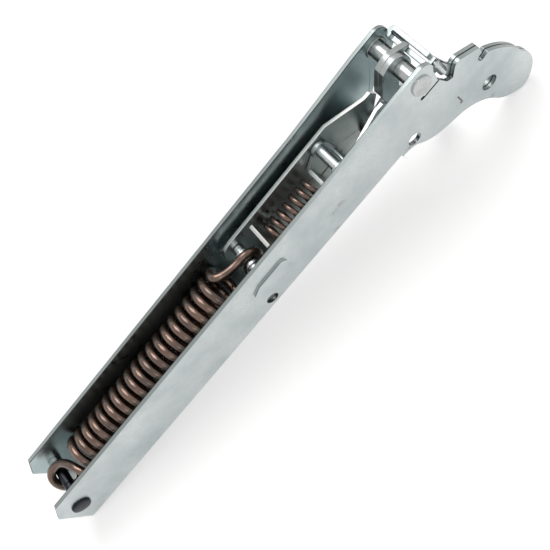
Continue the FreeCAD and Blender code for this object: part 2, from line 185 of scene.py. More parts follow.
@dataclass(frozen=True)
class ShaderGraph:
    """The node tree of one material, with one method that adds any node.

    Attributes:
        tree: The material's node tree.
    """

    tree: bpy.types.NodeTree

    def node(self, kind: str, settings: Mapping[str, object] = NOTHING,
             inputs: Mapping[Union[int, str], Input] = NOTHING, output: Union[int, str] = 0) -> Flow:
        """Add a node and wire it up.

        Args:
            kind: The node's type, such as ShaderNodeTexNoise.
            settings: Properties of the node, set before any socket.
            inputs: A value or a Flow for each named or numbered socket.
            output: The output socket that the result stands for.

        Returns:
            The chosen output, ready for more expressions.
        """
        made = self.tree.nodes.new(kind)
        for name, value in settings.items():
            setattr(made, name, value)
        for key, value in inputs.items():
            if isinstance(value, Flow):
                self.tree.links.new(value.socket, made.inputs[key])
            else:
                made.inputs[key].default_value = value
        return Flow(self, made.outputs[output])

    def place(self) -> Flow:
        """Return the position on the piece in metres, which stays put when the piece moves."""
        return self.node("ShaderNodeTexCoord", output="Object")

    def window(self, value: Flow, low: float, high: float) -> Flow:
        """Return value spread so that low is 0 and high is 1, held inside that range."""
        return self.node("ShaderNodeMapRange", {"clamp": True},
                         {"Value": value, "From Min": low, "From Max": high})

    def part(self, vector: Flow, axis: int) -> Flow:
        """Return one part of a vector."""
        return self.node("ShaderNodeSeparateXYZ", inputs={"Vector": vector}, output=axis)

    def facing(self, axis: int) -> Flow:
        """Return 1 where the surface is square to an axis and 0 where it runs along it."""
        return abs(self.part(self.node("ShaderNodeTexCoord", output="Normal"), axis))

    def mix(self, share: Value, first: Input, second: Input) -> Flow:
        """Return a colour between two colours.

        Args:
            share: 0 for the first colour and 1 for the second.
            first: Colour or link.
            second: Colour or link.

        Returns:
            The mixed colour.
        """
        inputs = {MIX_SHARE: share, MIX_FIRST: self._solid(first), MIX_SECOND: self._solid(second)}
        return self.node("ShaderNodeMix", {"data_type": "RGBA"}, inputs, MIX_RESULT)

    @staticmethod
    def _solid(colour: Input) -> Input:
        """Return a colour with its alpha, or the link unchanged."""
        return colour if isinstance(colour, Flow) else (*colour, 1.0)

    def seen(self) -> Flow:
        """Tell rays that see a surface from those that only light it.

        Returns:
            1 for rays from the camera, from reflections and through glass, and 0 for light.
        """
        rays = [self.node("ShaderNodeLightPath", output=name)
                for name in ("Is Camera Ray", "Is Glossy Ray", "Is Transmission Ray")]
        return self.window(rays[0] + rays[1] + rays[2], 0.0, 1.0)


@dataclass(frozen=True)
class Speckle:
    """Blotches of noise over a surface, such as clouds in the plating or pits.

    Attributes:
        scale: Blotches per metre.
        detail: Octaves of finer noise.
        roughness: Share of each finer octave.
        low: Noise at which a blotch starts.
        high: Noise at which it shows in full.
        stretch: Factor on the scale along each axis.
    """

    scale: float
    detail: float
    roughness: float
    low: float = 0.0
    high: float = 1.0
    stretch: Point = EVEN

    def drawn(self, graph: ShaderGraph) -> Flow:
        """Draw the blotches in a material.

        Args:
            graph: The material's graph.

        Returns:
            0 between the blotches and 1 inside them.
        """
        spot = graph.node("ShaderNodeMapping", inputs={"Vector": graph.place(), "Scale": self.stretch})
        noise = graph.node("ShaderNodeTexNoise", {"noise_dimensions": "3D"}, {
            "Vector": spot, "Scale": self.scale, "Detail": self.detail, "Roughness": self.roughness})
        return graph.window(noise, self.low, self.high)


@dataclass(frozen=True)
class Relief:
    """How a height shows on a surface.

    Attributes:
        strength: Share of the effect.
        depth: Depth in millimetres of a height of 1.
    """

    strength: float
    depth: float

    def normal(self, graph: ShaderGraph, height: Flow) -> Flow:
        """Return the normal that the height pushes about."""
        return graph.node("ShaderNodeBump", inputs={
            "Height": height, "Strength": self.strength, "Distance": self.depth * MM})


@dataclass(frozen=True)
class PressMark:
    """A small mark in the sheet's face, as a box in the frame.

    Attributes:
        low: Lowest corner in millimetres.
        high: Highest corner in millimetres.
        soft: How far the mark fades out beyond the box, in millimetres.
    """

    low: Point
    high: Point
    soft: float = 0.15

    def mask(self, graph: ShaderGraph) -> Flow:
        """Draw the mark in a material.

        Args:
            graph: The material's graph.

        Returns:
            1 inside the mark and 0 outside.
        """
        spot = graph.place()
        inside: Value = 1.0
        for axis, (low, high) in enumerate(zip(self.low, self.high)):
            part = graph.part(spot, axis)
            rise = graph.window(part, (low - self.soft) * MM, low * MM)
            fall = graph.window(part, (high + self.soft) * MM, high * MM)
            inside = rise * fall * inside
        return inside


class Finish:
    """A surface finish that makes its material once and shares it.

    Attributes:
        name: The material's name.
    """

    name: str

    def material(self) -> bpy.types.Material:
        """Give the finish's material, made on first use.

        Returns:
            The material.
        """
        known = bpy.data.materials.get(self.name)
        if known is not None:
            return known
        made = bpy.data.materials.new(self.name)
        made.use_nodes = True
        made.node_tree.nodes.clear()
        surface = self.shade(ShaderGraph(made.node_tree))
        out = made.node_tree.nodes.new("ShaderNodeOutputMaterial")
        made.node_tree.links.new(surface.socket, out.inputs["Surface"])
        return made

    def shade(self, graph: ShaderGraph) -> Flow:
        """Return the finish's shader, drawn in the graph."""
        raise NotImplementedError


@dataclass(frozen=True)
class ZincPlate(Finish):
    """Zinc-plated sheet: soft mottled sheen, fine rolling lines, pores, rubbed spots, and a darker colour
    on the faces that don't face across, partly the cut edges' own colour and partly painted shade.

    Attributes:
        name: The material's name.
        light: Colour of fresh plating.
        cloudy: Colour of its duller clouds.
        stain: Colour of dirt in pores, rubbed spots and scuffs, and of the painted shade in the press
            marks.
        cut_edge_and_shade: Colour of every face that doesn't face across: partly the cut edges' own colour,
            partly painted shade.
        clouds: Broad mottling.
        smears: Long bright smears along the case.
        rolled: Lines left by the rolling mill.
        pores: Fine dark pores.
        rubs: Rubbed spots inside the smears.
        cloud_share: How far a cloud turns the colour.
        smear_share: How far a smear turns it back.
        pore_dirt: How much dirt a pore holds.
        rub_dirt: How much dirt a rubbed spot holds.
        edge_and_shade_share: How far such a face takes that colour and its painted shade.
        edge_smear: How much of that a smear takes off.
        edge_facing: How squarely a surface faces across the case where the cut-edge colour and painted
            shade start and are full.
        roughness: Roughness of the clean sheet.
        cloud_roughness: What a cloud adds to it.
        rub_roughness: What a rubbed spot adds to it.
        roll_height: Height of the rolling lines.
        cloud_height: Height of the clouds.
        relief: How the heights show.
    """

    name: str = "zinc_plate"
    light: Colour = (0.60, 0.64, 0.64)
    cloudy: Colour = (0.40, 0.455, 0.465)
    stain: Colour = (0.13, 0.11, 0.09)
    cut_edge_and_shade: Colour = (0.27, 0.28, 0.27)
    clouds: Speckle = Speckle(55.0, 5.0, 0.62, 0.36, 0.66)
    smears: Speckle = Speckle(1.0, 4.0, 0.60, 0.42, 0.72, stretch=(14.0, 60.0, 45.0))
    rolled: Speckle = Speckle(1.0, 2.0, 0.50, stretch=(30.0, 1300.0, 1300.0))
    pores: Speckle = Speckle(1400.0, 2.0, 0.50, 0.68, 0.80)
    rubs: Speckle = Speckle(210.0, 3.0, 0.70, 0.62, 0.74)
    cloud_share: float = 0.7
    smear_share: float = 0.3
    pore_dirt: float = 0.3
    rub_dirt: float = 0.16
    edge_and_shade_share: float = 0.75
    edge_smear: float = 0.35
    edge_facing: Pair = (0.8, 0.4)
    roughness: float = 0.26
    cloud_roughness: float = 0.12
    rub_roughness: float = 0.15
    roll_height: float = 0.35
    cloud_height: float = 0.5
    relief: Relief = Relief(0.35, 0.03)

    def shade(self, graph: ShaderGraph) -> Flow:
        """Draw the plated metal.

        Args:
            graph: The material's graph.

        Returns:
            The shader's output.
        """
        clouds = self.clouds.drawn(graph)
        smears = self.smears.drawn(graph)
        pores = self.pores.drawn(graph)
        rubs = self.rubs.drawn(graph) * smears
        colour = graph.mix(clouds * self.cloud_share, self.light, self.cloudy)
        colour = graph.mix(smears * self.smear_share, colour, self.light)
        colour = self._tinted(graph, colour, smears)
        colour = graph.mix(pores * self.pore_dirt + rubs * self.rub_dirt, colour, self.stain)
        height = self.rolled.drawn(graph) * self.roll_height + clouds * self.cloud_height - pores
        colour, height = self._pressed(graph, colour, height)
        return graph.node("ShaderNodeBsdfPrincipled", inputs={
            "Base Color": colour, "Metallic": 1.0,
            "Roughness": clouds * self.cloud_roughness + rubs * self.rub_roughness + self.roughness,
            "Normal": self.relief.normal(graph, height)})

    def _edge_and_shade_mask(self, graph: ShaderGraph) -> Flow:
        """Return 1 on the faces that don't face across, where the cut-edge colour and painted shade go, and
        0 on the flats.
        """
        return graph.window(graph.facing(ACROSS), *self.edge_facing)

    def _tinted(self, graph: ShaderGraph, colour: Flow, smears: Flow) -> Flow:
        """Colour what isn't the sheet's flat, partly with the cut edges' own colour and partly with painted
        shade.

        Args:
            graph: The material's graph.
            colour: The plating's colour.
            smears: The long smears along the sheet.

        Returns:
            The changed colour.
        """
        # Painted shade with the cut edges' own colour: every face that doesn't face across turns darker,
        # less where a smear runs.
        return graph.mix(self._edge_and_shade_mask(graph) * (self.edge_and_shade_share - smears * self.edge_smear), colour,
                         self.cut_edge_and_shade)

    def _pressed(self, graph: ShaderGraph, colour: Flow, height: Flow) -> tuple[Flow, Flow]:
        """Return the colour and height with the marks of the press; plain sheet has none."""
        return colour, height


@dataclass(frozen=True)
class CasePlate(ZincPlate):
    """The case's plated sheet: bluer inside with painted shade there, painted shade on the web and the
    bridge, a darker cut-edge colour that is partly painted shade, and painted shade in the claw's seam.

    Attributes:
        inside: Colour of the walls' inner faces: a bluer plating tint, darkened as painted shade for the
            inside of the channel.
        inside_tint_and_shade_share: How far they take it.
        inside_facing: How squarely a surface faces across where that colour starts and is full.
        folded: Painted shade on what runs across the case, such as the bridge and the web: a darker plate
            colour on their faces.
        seam_painted_shade: Painted shade in the seam between the claw's two layers, near black.
        seam_facing: How squarely a surface faces across where that painted shade starts and is full.
        seam_half: Half the width of that painted shade in millimetres.
        inner_face: Place across of the walls' inner faces, where the claw's layers also meet.
        layer_back: Place across of the back of the claw's second layer.
        blur: How far a change of colour spreads, in millimetres.
        marks: Marks of the press.
        mark_shade_share: How far the painted shade in them goes.
        mark_depth: How deep they are, as a height.
        scuffs: Dirty scuffs.
        scuff_share: How dark they are.
        grain: The ragged dirt inside a scuff.
    """

    name: str = "case_plate"
    light: Colour = (0.585, 0.625, 0.625)
    cloudy: Colour = (0.40, 0.455, 0.465)
    cut_edge_and_shade: Colour = (0.25, 0.28, 0.275)
    edge_smear: float = 0.45
    inside: Colour = (0.20, 0.34, 0.36)
    inside_tint_and_shade_share: float = 0.8
    inside_facing: Pair = (0.5, 0.9)
    folded: Colour = (0.26, 0.29, 0.29)
    seam_painted_shade: Colour = (0.03, 0.03, 0.03)
    seam_facing: Pair = (0.985, 0.93)
    seam_half: float = 0.36
    inner_face: float = HALF_WIDTH - SHEET
    layer_back: float = HALF_WIDTH - 2 * SHEET
    blur: float = 0.1
    marks: tuple[PressMark, ...] = ()
    mark_shade_share: float = 0.85
    mark_depth: float = 6.0
    scuffs: tuple[PressMark, ...] = ()
    scuff_share: float = 0.55
    grain: Speckle = Speckle(900.0, 4.0, 0.70, 0.42, 0.62)

    def _tinted(self, graph: ShaderGraph, colour: Flow, smears: Flow) -> Flow:
        """Colour the case's inside bluer with painted shade, paint shade on the web and the bridge, darken
        the cut edges partly as painted shade, and paint shade into the claw's seam.

        Args:
            graph: The material's graph.
            colour: The plating's colour.
            smears: The long smears along the sheet.

        Returns:
            The changed colour.
        """
        flat = graph.facing(ACROSS)
        edge = self._edge_and_shade_mask(graph)
        across = abs(graph.part(graph.place(), ACROSS))
        inner_tint_and_shade_zone = graph.window(across, (self.inner_face + self.blur) * MM,
                              (self.inner_face - self.blur) * MM)
        layered = graph.window(across, (self.layer_back - self.blur * 2) * MM,
                               (self.layer_back - self.blur / 2) * MM)
        beside = abs(across - self.inner_face * MM)
        seam = graph.window(beside, self.seam_half * MM, self.seam_half / 2 * MM)
        # Painted shade with a bluer tint: the faces inside the walls take the darker inside colour.
        colour = graph.mix(inner_tint_and_shade_zone * graph.window(flat, *self.inside_facing) * self.inside_tint_and_shade_share, colour,
                           self.inside)
        # Painted shade: the web and the bridge, whose faces don't face across, take the darker folded
        # colour.
        colour = graph.mix(edge * (self.edge_and_shade_share - layered * self.edge_and_shade_share), colour, self.folded)
        # Partly the cut edges' own colour, partly painted shade: the walls' tops and ends and the claw's
        # edges turn darker.
        colour = graph.mix(edge * layered * (1.0 - smears * self.edge_smear), colour, self.cut_edge_and_shade)
        # Painted shade: a near-black line along the seam where the claw's two layers meet.
        return graph.mix(seam * graph.window(flat, *self.seam_facing), colour, self.seam_painted_shade)

    def _pressed(self, graph: ShaderGraph, colour: Flow, height: Flow) -> tuple[Flow, Flow]:
        """Add the marks of the press, painted dark as shade in their slits, and the scuffs.

        Args:
            graph: The material's graph.
            colour: The plating's colour.
            height: The plating's height.

        Returns:
            Both, with painted shade and lower in the marks, and the colour duller in the scuffs.
        """
        for mark in self.marks:
            dent = mark.mask(graph)
            # Painted shade: each press mark is darkened towards the stain colour as the shade in its slit,
            # and lowered.
            colour = graph.mix(dent * self.mark_shade_share, colour, self.stain)
            height = height - dent * self.mark_depth
        grain = self.grain.drawn(graph)
        for scuff in self.scuffs:
            colour = graph.mix(scuff.mask(graph) * grain * self.scuff_share, colour, self.stain)
        return colour, height


@dataclass(frozen=True)
class BrightSteel(Finish):
    """Turned bright steel, with fine rings round the axis and faint handling marks.

    Attributes:
        name: The material's name.
        colour: Colour of the clean steel.
        tarnish: Colour where it was handled.
        rings: Rings left by the lathe.
        worn: Handled spots.
        tarnish_share: How far a handled spot turns the colour.
        roughness: Roughness of the clean steel.
        worn_roughness: What a handled spot adds to it.
        ring_roughness: What the rings add to it.
        worn_height: Height of the handled spots against the rings.
        relief: How the heights show.
    """

    name: str = "bright_steel"
    colour: Colour = (0.52, 0.545, 0.54)
    tarnish: Colour = (0.33, 0.34, 0.33)
    rings: Speckle = Speckle(1.0, 2.0, 0.60, stretch=(40.0, 2600.0, 40.0))
    worn: Speckle = Speckle(320.0, 4.0, 0.60, 0.45, 0.75)
    tarnish_share: float = 0.5
    roughness: float = 0.16
    worn_roughness: float = 0.12
    ring_roughness: float = 0.08
    worn_height: float = 0.4
    relief: Relief = Relief(0.25, 0.02)

    def shade(self, graph: ShaderGraph) -> Flow:
        """Draw the turned steel.

        Args:
            graph: The material's graph.

        Returns:
            The shader's output.
        """
        rings = self.rings.drawn(graph)
        worn = self.worn.drawn(graph)
        return graph.node("ShaderNodeBsdfPrincipled", inputs={
            "Base Color": graph.mix(worn * self.tarnish_share, self.colour, self.tarnish), "Metallic": 1.0,
            "Roughness": worn * self.worn_roughness + rings * self.ring_roughness + self.roughness,
            "Normal": self.relief.normal(graph, rings + worn * self.worn_height)})


@dataclass(frozen=True)
class BronzedWire(Finish):
    """Heat-toned brown spring wire: copper-brown glow under darker scale and drawing pits.

    Attributes:
        name: The material's name.
        glow: Colour where the heat left it bright.
        deep: Colour where the heat browned it.
        scale: Colour of flakes of scale.
        heat: The heat's broad stains.
        flakes: The flakes of scale.
        flake_share: How far a flake turns the colour.
        metallic: How metallic the oxide looks.
        roughness: Roughness of the bare wire.
        heat_roughness: What a stain adds to it.
        flake_roughness: What a flake adds to it.
        heat_height: Height of the stains against the flakes.
        relief: How the heights show.
        oil: Share of the thin oily coat.
        oil_roughness: Roughness of that coat.
    """

    name: str = "bronzed_wire"
    glow: Colour = (0.160, 0.088, 0.058)
    deep: Colour = (0.050, 0.028, 0.020)
    scale: Colour = (0.022, 0.017, 0.016)
    heat: Speckle = Speckle(150.0, 4.0, 0.60, 0.34, 0.70)
    flakes: Speckle = Speckle(850.0, 3.0, 0.65, 0.58, 0.72)
    flake_share: float = 0.55
    metallic: float = 0.85
    roughness: float = 0.13
    heat_roughness: float = 0.10
    flake_roughness: float = 0.16
    heat_height: float = 0.4
    relief: Relief = Relief(0.30, 0.03)
    oil: float = 1.0
    oil_roughness: float = 0.08

    def shade(self, graph: ShaderGraph) -> Flow:
        """Draw the heat-toned wire.

        Args:
            graph: The material's graph.

        Returns:
            The shader's output.
        """
        heat = self.heat.drawn(graph)
        flakes = self.flakes.drawn(graph)
        colour = graph.mix(heat, self.glow, self.deep)
        return graph.node("ShaderNodeBsdfPrincipled", inputs={
            "Base Color": graph.mix(flakes * self.flake_share, colour, self.scale),
            "Metallic": self.metallic, "Coat Weight": self.oil, "Coat Roughness": self.oil_roughness,
            "Roughness": heat * self.heat_roughness + flakes * self.flake_roughness + self.roughness,
            "Normal": self.relief.normal(graph, heat * self.heat_height - flakes)})


@dataclass(frozen=True)
class BlackOxide(Finish):
    """Blackened steel with a thin oily sheen, and bare steel at rubbed spots.

    Attributes:
        name: The material's name.
        film: Colour of the black film.
        bare: Colour of the steel where it was rubbed.
        pits: Fine pits in the film.
        rubbed: Rubbed spots.
        bare_share: How far a rubbed spot shows the steel.
        metallic: How metallic the film looks.
        roughness: Roughness of the film.
        pit_roughness: What a pit adds to it.
        rubbed_height: Height of the rubbed spots against the pits.
        relief: How the heights show.
    """

    name: str = "black_oxide"
    film: Colour = (0.022, 0.025, 0.030)
    bare: Colour = (0.28, 0.28, 0.29)
    pits: Speckle = Speckle(1100.0, 3.0, 0.60, 0.50, 0.74)
    rubbed: Speckle = Speckle(260.0, 4.0, 0.65, 0.64, 0.82)
    bare_share: float = 0.5
    metallic: float = 0.9
    roughness: float = 0.30
    pit_roughness: float = 0.2
    rubbed_height: float = 0.4
    relief: Relief = Relief(0.4, 0.03)

    def shade(self, graph: ShaderGraph) -> Flow:
        """Draw the blackened steel.

        Args:
            graph: The material's graph.

        Returns:
            The shader's output.
        """
        pits = self.pits.drawn(graph)
        rubbed = self.rubbed.drawn(graph)
        return graph.node("ShaderNodeBsdfPrincipled", inputs={
            "Base Color": graph.mix(rubbed * self.bare_share, self.film, self.bare),
            "Metallic": self.metallic, "Roughness": pits * self.pit_roughness + self.roughness,
            "Normal": self.relief.normal(graph, rubbed * self.rubbed_height - pits)})


@dataclass(frozen=True)
class PaleFloor(Finish):
    """White studio floor that shows white to the camera and in reflections, and keeps the shadow.

    Attributes:
        name: The material's name.
        paper: The floor's own colour.
        roughness: Its roughness.
        lift: What it glows with where it is seen.
    """

    name: str = "pale_floor"
    paper: Colour = (0.72, 0.705, 0.70)
    roughness: float = 0.9
    lift: float = 0.52

    def shade(self, graph: ShaderGraph) -> Flow:
        """Draw the floor, lifted only for rays that see it.

        Args:
            graph: The material's graph.

        Returns:
            The shader's output.
        """
        matt = {"Base Color": (*self.paper, 1.0), "Roughness": self.roughness, "Specular IOR Level": 0.0}
        lit = graph.node("ShaderNodeBsdfPrincipled", inputs=matt)
        raised = graph.node("ShaderNodeBsdfPrincipled", inputs={
            **matt, "Emission Color": (1.0, 1.0, 1.0, 1.0), "Emission Strength": self.lift})
        return graph.node("ShaderNodeMixShader", inputs={0: graph.seen(), 1: lit, 2: raised})


@dataclass(frozen=True)
class Seam:
    """A flat cut between two nodes of one folded sheet, where the real sheet runs on.

    Attributes:
        axis: The axis that the cut is square to.
        place: Where it cuts that axis, in millimetres.
        low: Lowest corner of the room that holds the cut, in millimetres.
        high: Highest corner of that room.
        slack: How far off the cut a face may lie, in millimetres.
    """

    axis: int
    place: float
    low: Point
    high: Point
    slack: float = 0.004

    def holds(self, spots: Sequence[Vector]) -> bool:
        """Tell whether a face lies in the cut.

        Args:
            spots: The face's corners in metres.

        Returns:
            Whether all of them do.
        """
        return all(abs(spot[self.axis] / MM - self.place) < self.slack and
                   all(low - self.slack <= part / MM <= high + self.slack
                       for part, low, high in zip(spot, self.low, self.high)) for spot in spots)


def place_piece(name: str, mesh: bpy.types.Mesh, finish: Finish, body: Optional[Body],
                nodes: Sequence[str]) -> bpy.types.Object:
    """Put a mesh in the scene in place of its nodes.

    Args:
        name: The piece's name.
        mesh: Its mesh, where the frame has it.
        finish: The finish that dresses it.
        body: The body that it rides on, or None for a piece that is blended between two.
        nodes: The nodes that it stands for.

    Returns:
        The piece.
    """
    mesh.materials.clear()
    mesh.materials.append(finish.material())
    piece = bpy.data.objects.new(name, mesh)
    bpy.context.scene.collection.objects.link(piece)
    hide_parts(*nodes)
    if body is not None:
        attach(piece, body.value)
    LOG.info("%s: %d faces", name, len(mesh.polygons))
    return piece


@dataclass
class SteelPiece:
    """A steel piece shaped from its own nodes, its corners eased as tumbling and plating leave them.

    Attributes:
        name: The piece's name.
        nodes: The nodes of the frame that it stands for.
        body: The body that it rides on.
        finish: Its finish.
        slot: The record's material slot; not used.
        ease: Width of an eased corner in millimetres.
        seams: Cuts between its nodes, which are sewn up.
        corner: The least turn between two faces that is eased as a corner.
        flat: The most turn between two faces that are joined as one flat.
        weld: Corners nearer than this are one, in millimetres.
        seam_weld: The same for the corners that a seam has parted.
        ease_steps: Faces across an eased corner.
    """

    name: str
    nodes: tuple[str, ...]
    body: Body
    finish: Finish
    slot: Slot
    ease: float = 0.2
    seams: tuple[Seam, ...] = ()
    corner: float = math.radians(32)
    flat: float = math.radians(0.4)
    weld: float = 0.002
    seam_weld: float = 0.004
    ease_steps: int = 2

    def build(self) -> bpy.types.Object:
        """Make the piece and hang it in place of its nodes.

        Returns:
            The dressed piece.
        """
        form = bmesh.new()
        for node in self.nodes:
            form.from_mesh(frame["nodes"][node].data)
        bmesh.ops.remove_doubles(form, verts=form.verts, dist=self.weld * MM)
        self._sew(form)
        bmesh.ops.dissolve_limit(form, angle_limit=self.flat, verts=form.verts, edges=form.edges)
        share = form.edges.layers.float.new("bevel_weight_edge")
        for edge in form.edges:
            edge[share] = float(len(edge.link_faces) == 2 and edge.calc_face_angle(0.0) > self.corner)
        for face in form.faces:
            face.smooth = True
        mesh = bpy.data.meshes.new(self.name)
        form.to_mesh(mesh)
        form.free()
        return place_piece(self.name, self._eased(mesh), self.finish, self.body, self.nodes)

    def _sew(self, form: bmesh.types.BMesh) -> None:
        """Take out the faces inside the sheet and join what they parted.

        Args:
            form: The mesh of all the nodes together.
        """
        inner = [face for face in form.faces
                 if any(seam.holds([vert.co for vert in face.verts]) for seam in self.seams)]
        bmesh.ops.delete(form, geom=inner, context="FACES")
        bmesh.ops.remove_doubles(form, verts=form.verts, dist=self.seam_weld * MM)

    def _eased(self, mesh: bpy.types.Mesh) -> bpy.types.Mesh:
        """Round the corners and keep the flats flat.

        Args:
            mesh: The sharp mesh, with a weight on each true corner.

        Returns:
            A new mesh.
        """
        shell = bpy.data.objects.new("shell", mesh)
        bpy.context.scene.collection.objects.link(shell)
        round_over = shell.modifiers.new("round over", "BEVEL")
        round_over.limit_method = "WEIGHT"
        round_over.width = self.ease * MM
        round_over.segments = self.ease_steps
        round_over.use_clamp_overlap = False
        shell.modifiers.new("flats", "WEIGHTED_NORMAL")
        depsgraph = bpy.context.evaluated_depsgraph_get()
        eased = bpy.data.meshes.new_from_object(shell.evaluated_get(depsgraph))
        bpy.data.objects.remove(shell)
        bpy.data.meshes.remove(mesh)
        return eased


@dataclass(frozen=True)
class PinHead:
    """The upset head of a pin, seated on the outer face of a wall.

    Attributes:
        shaft: Radius of the pin's shaft in millimetres.
        radius: Radius of the head.
        rise: How far the head stands proud of the wall.
        rim: Steps of the rounded rim: a share of the rise, and how much smaller the radius is there.
        sink: How far the middle lies below the last step.
        middle: Radius of that flat middle.
        seat: Place across of the wall's outer face.
    """

    shaft: float
    radius: float
    rise: float
    rim: tuple[Pair, ...]
    sink: float
    middle: float = 1.0
    seat: float = HALF_WIDTH

    def profile(self) -> tuple[Pair, ...]:
        """Return the head's places across and radii, from the shaft out."""
        rim = tuple((self.seat + self.rise * share, self.radius - less) for share, less in self.rim)
        return ((self.seat, self.shaft), (self.seat, self.radius), *rim,
                (self.seat + self.rise - self.sink, self.middle))

    def both_ends(self, shaft: Sequence[Pair] = ()) -> tuple[Pair, ...]:
        """Give the profile of a pin with this head at each end.

        Args:
            shaft: Places across and radii of what is cut into the shaft.

        Returns:
            The profile, from the near end to the far end.
        """
        head = self.profile()
        return (*((-y, radius) for y, radius in reversed(head)), *shaft, *head)


@dataclass
class TurnedPiece:
    """A solid turned piece about an axis along Y, from the profile that the lathe cuts.

    Attributes:
        name: The piece's name.
        node: The node that it stands for.
        body: The body that it rides on.
        finish: Its finish.
        slot: The record's material slot; not used.
        profile: Places across and radii in millimetres.
        around: Corners round a ring.
        crease: The least turn between two faces that shows as an edge.
    """

    name: str
    node: str
    body: Body
    finish: Finish
    slot: Slot
    profile: tuple[Pair, ...]
    around: int = 64
    crease: float = math.radians(35)

    def build(self) -> bpy.types.Object:
        """Turn the piece on its node's axis.

        Returns:
            The dressed piece.
        """
        axis = middle(self.node)
        form = bmesh.new()
        rings = [[form.verts.new((axis.x + radius * MM * math.cos(a), y * MM,
                                  axis.z + radius * MM * math.sin(a)))
                  for a in (math.tau * k / self.around for k in range(self.around))]
                 for y, radius in self.profile]
        for near, far in zip(rings, rings[1:]):
            for k in range(self.around):
                following = (k + 1) % self.around
                form.faces.new((near[k], far[k], far[following], near[following])).smooth = True
        form.faces.new(rings[0])
        form.faces.new(list(reversed(rings[-1])))
        bmesh.ops.recalc_face_normals(form, faces=form.faces)
        mesh = bpy.data.meshes.new(self.name)
        form.to_mesh(mesh)
        form.free()
        mesh.set_sharp_from_angle(angle=self.crease)
        return place_piece(self.name, mesh, self.finish, self.body, (self.node,))


@dataclass
class CoilWire:
    """Round wire bent along a smooth line, its cut ends a little eased.

    Attributes:
        line: Points of the wire's middle line, in metres.
        wire: The wire's diameter in millimetres.
        around: Corners round the wire.
        end_share: Size of the cut end against the wire.
        crease: The least turn between two faces that shows as an edge.
    """

    line: list[Vector]
    wire: float
    around: int = 16
    end_share: float = 0.86
    crease: float = math.radians(50)

    def mesh(self, name: str) -> bpy.types.Mesh:
        """Sweep the wire, each ring turned no more than the line needs.

        Args:
            name: The mesh's name.

        Returns:
            The wire's skin.
        """
        form = bmesh.new()
        last = len(self.line) - 1
        heading = (self.line[1] - self.line[0]).normalized()
        side = heading.orthogonal().normalized()
        rings = []
        for number, point in enumerate(self.line):
            fresh = (self.line[min(number + 1, last)] - self.line[max(number - 1, 0)]).normalized()
            side = (heading.rotation_difference(fresh) @ side).normalized()
            heading = fresh
            radius = self.wire / 2 * MM * (self.end_share if number in (0, last) else 1.0)
            up = heading.cross(side)
            rings.append([form.verts.new(point + (side * math.cos(a) + up * math.sin(a)) * radius)
                          for a in (math.tau * k / self.around for k in range(self.around))])
        for near, far in zip(rings, rings[1:]):
            for k in range(self.around):
                following = (k + 1) % self.around
                form.faces.new((near[k], near[following], far[following], far[k])).smooth = True
        form.faces.new(list(reversed(rings[0])))
        form.faces.new(rings[-1])
        mesh = bpy.data.meshes.new(name)
        form.to_mesh(mesh)
        form.free()
        mesh.set_sharp_from_angle(angle=self.crease)
        return mesh


def coil(start: Vector, radius: float, pitch: float, turns: float, first_turn: float,
         per_turn: int) -> list[Vector]:
    """Wind a right-handed coil along X.

    Args:
        start: Where its axis starts.
        radius: Radius of the wire's middle line in millimetres.
        pitch: Advance a turn in millimetres.
        turns: Number of turns.
        first_turn: Where it starts, in turns past its lowest point.
        per_turn: Points a turn.

    Returns:
        The coil's points, in order.
    """
    count = math.ceil(turns * per_turn)
    points = []
    for step in range(count + 1):
        turn = turns * step / count
        angle = math.tau * (first_turn + turn)
        offset = Vector((pitch * turn, radius * math.sin(angle), -radius * math.cos(angle)))
        points.append(start + offset * MM)
    return points


def blend_curve(poles: Sequence[Vector], count: int) -> list[Vector]:
    """Walk along a cubic curve.

    Args:
        poles: Its four poles.
        count: Number of steps.

    Returns:
        The points between its two ends.
    """
    points = []
    for step in range(1, count):
        t = step / count
        weights = ((1 - t) ** 3, 3 * t * (1 - t) ** 2, 3 * t * t * (1 - t), t ** 3)
        points.append(sum((pole * weight for pole, weight in zip(poles, weights)), Vector((0, 0, 0))))
    return points


@dataclass(frozen=True)
class EndLoop:
    """The open loop at one end of the main spring, which goes over a pin and on round it.

    Attributes:
        node: The node that the loop hangs on.
        pin_radius: Radius of that node in millimetres.
        radius: Radius of the loop's middle line.
        side: 1 at the front and -1 at the tail.
        lean: How far the loop leans over about the spring's axis.
        shift: Place of the loop across the case.
        bend: How far the loop goes round, in degrees.
        pull: How softly the wire turns from the coil into the loop.
        running: Gap between the loop and its pin.
        loop_steps: Steps round the loop.
        lead_steps: Steps from the coil to the loop.
    """

    node: str
    pin_radius: float
    radius: float
    side: int
    lean: float = 0.0
    shift: float = 0.0
    bend: float = 235.0
    pull: float = 0.45
    running: float = 0.05
    loop_steps: int = 36
    lead_steps: int = 14

    def edge(self) -> Vector:
        """Return the side of the loop that faces the coil, where the stretching starts or ends."""
        return middle(self.node) - Vector((self.side * self.radius * MM, 0.0, 0.0))

    def line(self, leave: Vector, heading: Vector, wire: float) -> list[Vector]:
        """Bend the loop.

        Args:
            leave: The coil's last point.
            heading: Its direction there.
            wire: The wire's diameter in millimetres.

        Returns:
            The loop's points after the coil.
        """
        slack = (self.radius - wire / 2 - self.pin_radius) * math.cos(self.lean) - self.running
        centre = middle(self.node) + Vector((-self.side * slack, self.shift, 0.0)) * MM
        angles = [math.radians(90 - self.side * self.bend * step / self.loop_steps)
                  for step in range(self.loop_steps + 1)]
        ring = [centre + Vector((math.cos(a), math.sin(a) * math.sin(self.lean),
                                 math.sin(a) * math.cos(self.lean))) * self.radius * MM for a in angles]
        reach = (ring[0] - leave).length * self.pull
        poles = (leave, leave + heading.normalized() * reach,
                 ring[0] - Vector((self.side * reach, 0, 0)), ring[0])
        return blend_curve(poles, self.lead_steps) + ring


